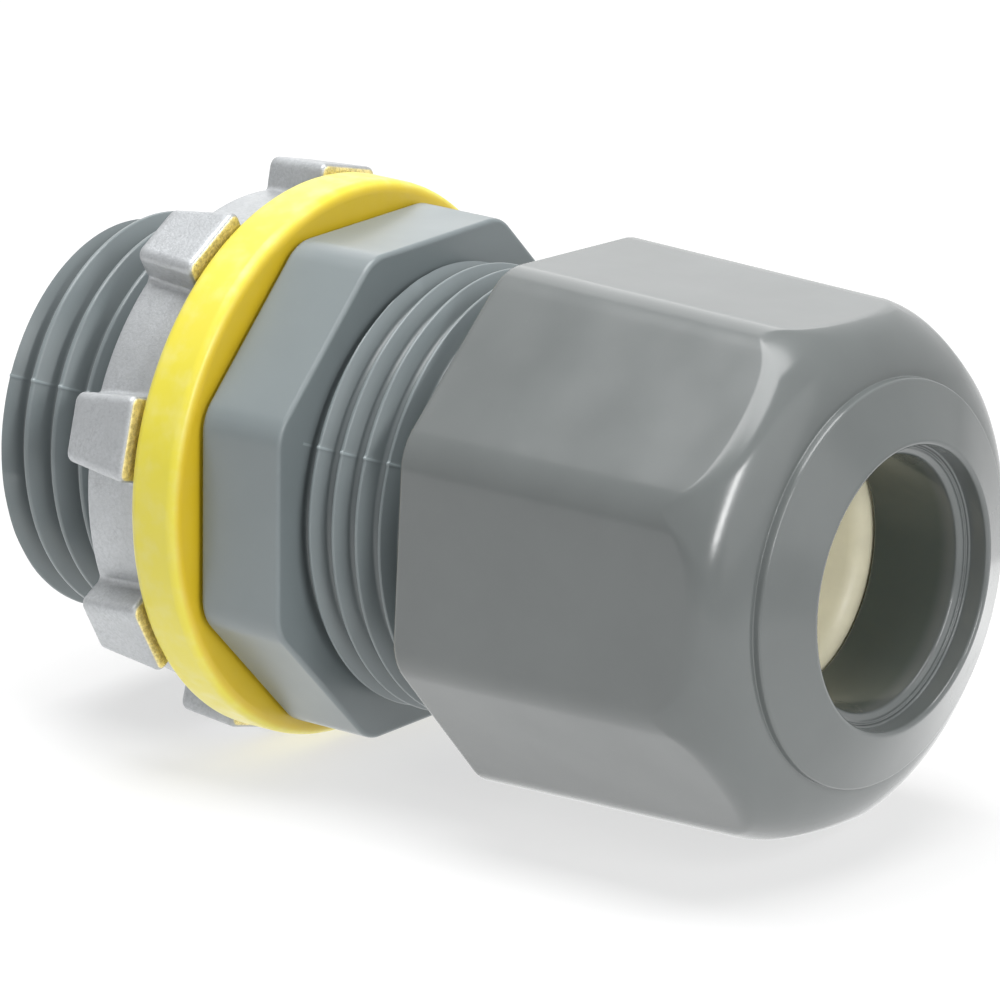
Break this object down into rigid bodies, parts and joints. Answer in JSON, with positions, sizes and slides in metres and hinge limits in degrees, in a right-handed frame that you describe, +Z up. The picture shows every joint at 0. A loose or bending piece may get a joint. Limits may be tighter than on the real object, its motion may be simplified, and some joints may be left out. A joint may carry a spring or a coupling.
{
  "type": "strain relief cord connector",
  "caption": "Threaded plastic cord grip: octagonal gland body, domed compression nut over a soft grommet, sealing ring and lugged cast locknut for a knockout.",
  "frame": {"origin": "on the connector's axis, halfway between the tip of the nipple and the rim of the compression nut", "axes": "+X along the axis from the box end to the cord end, +Z up across a pair of the flange's flats, +Y to the left seen from the box end"},
  "size_m": [0.0502, 0.0294, 0.0294],
  "materials": {
    "body_plastic": "satin moulded grey",
    "nut_plastic": "polished moulded grey",
    "grommet_rubber": "smooth translucent cream",
    "seal_rubber": "smooth yellow",
    "cast_zinc": "bright granular casting"
  },
  "bodies": {
    "gland_body": {"gland_body": "body_plastic"},
    "grommet": {"sealing_grommet": "grommet_rubber"},
    "compression_nut": {"compression_nut": "nut_plastic"},
    "sealing_ring": {"sealing_ring": "seal_rubber"},
    "locknut": {"locknut": "cast_zinc"}
  },
  "joints": [
    {"name": "grommet_slide", "type": "slide", "parent": "gland_body", "child": "grommet", "axis": [1, 0, 0], "range_m": [-0.0042, 0.006]},
    {"name": "nut_turn", "type": "hinge", "parent": "grommet", "child": "compression_nut", "pos_m": [0.0144, 0, 0], "axis": [1, 0, 0], "range_deg": [-990, 1440]},
    {"name": "ring_slide", "type": "slide", "parent": "gland_body", "child": "sealing_ring", "axis": [1, 0, 0], "range_m": [-0.0109, 0]},
    {"name": "locknut_turn", "type": "hinge", "parent": "sealing_ring", "child": "locknut", "pos_m": [-0.0146, 0, 0], "axis": [1, 0, 0], "range_deg": [-2160, 0]}
  ],
  "couplings": [
    {"joint": "grommet_slide", "follows": "nut_turn", "m_per_rad": 0.00023396},
    {"joint": "ring_slide", "follows": "locknut_turn", "m_per_rad": 0.00028875}
  ]
}
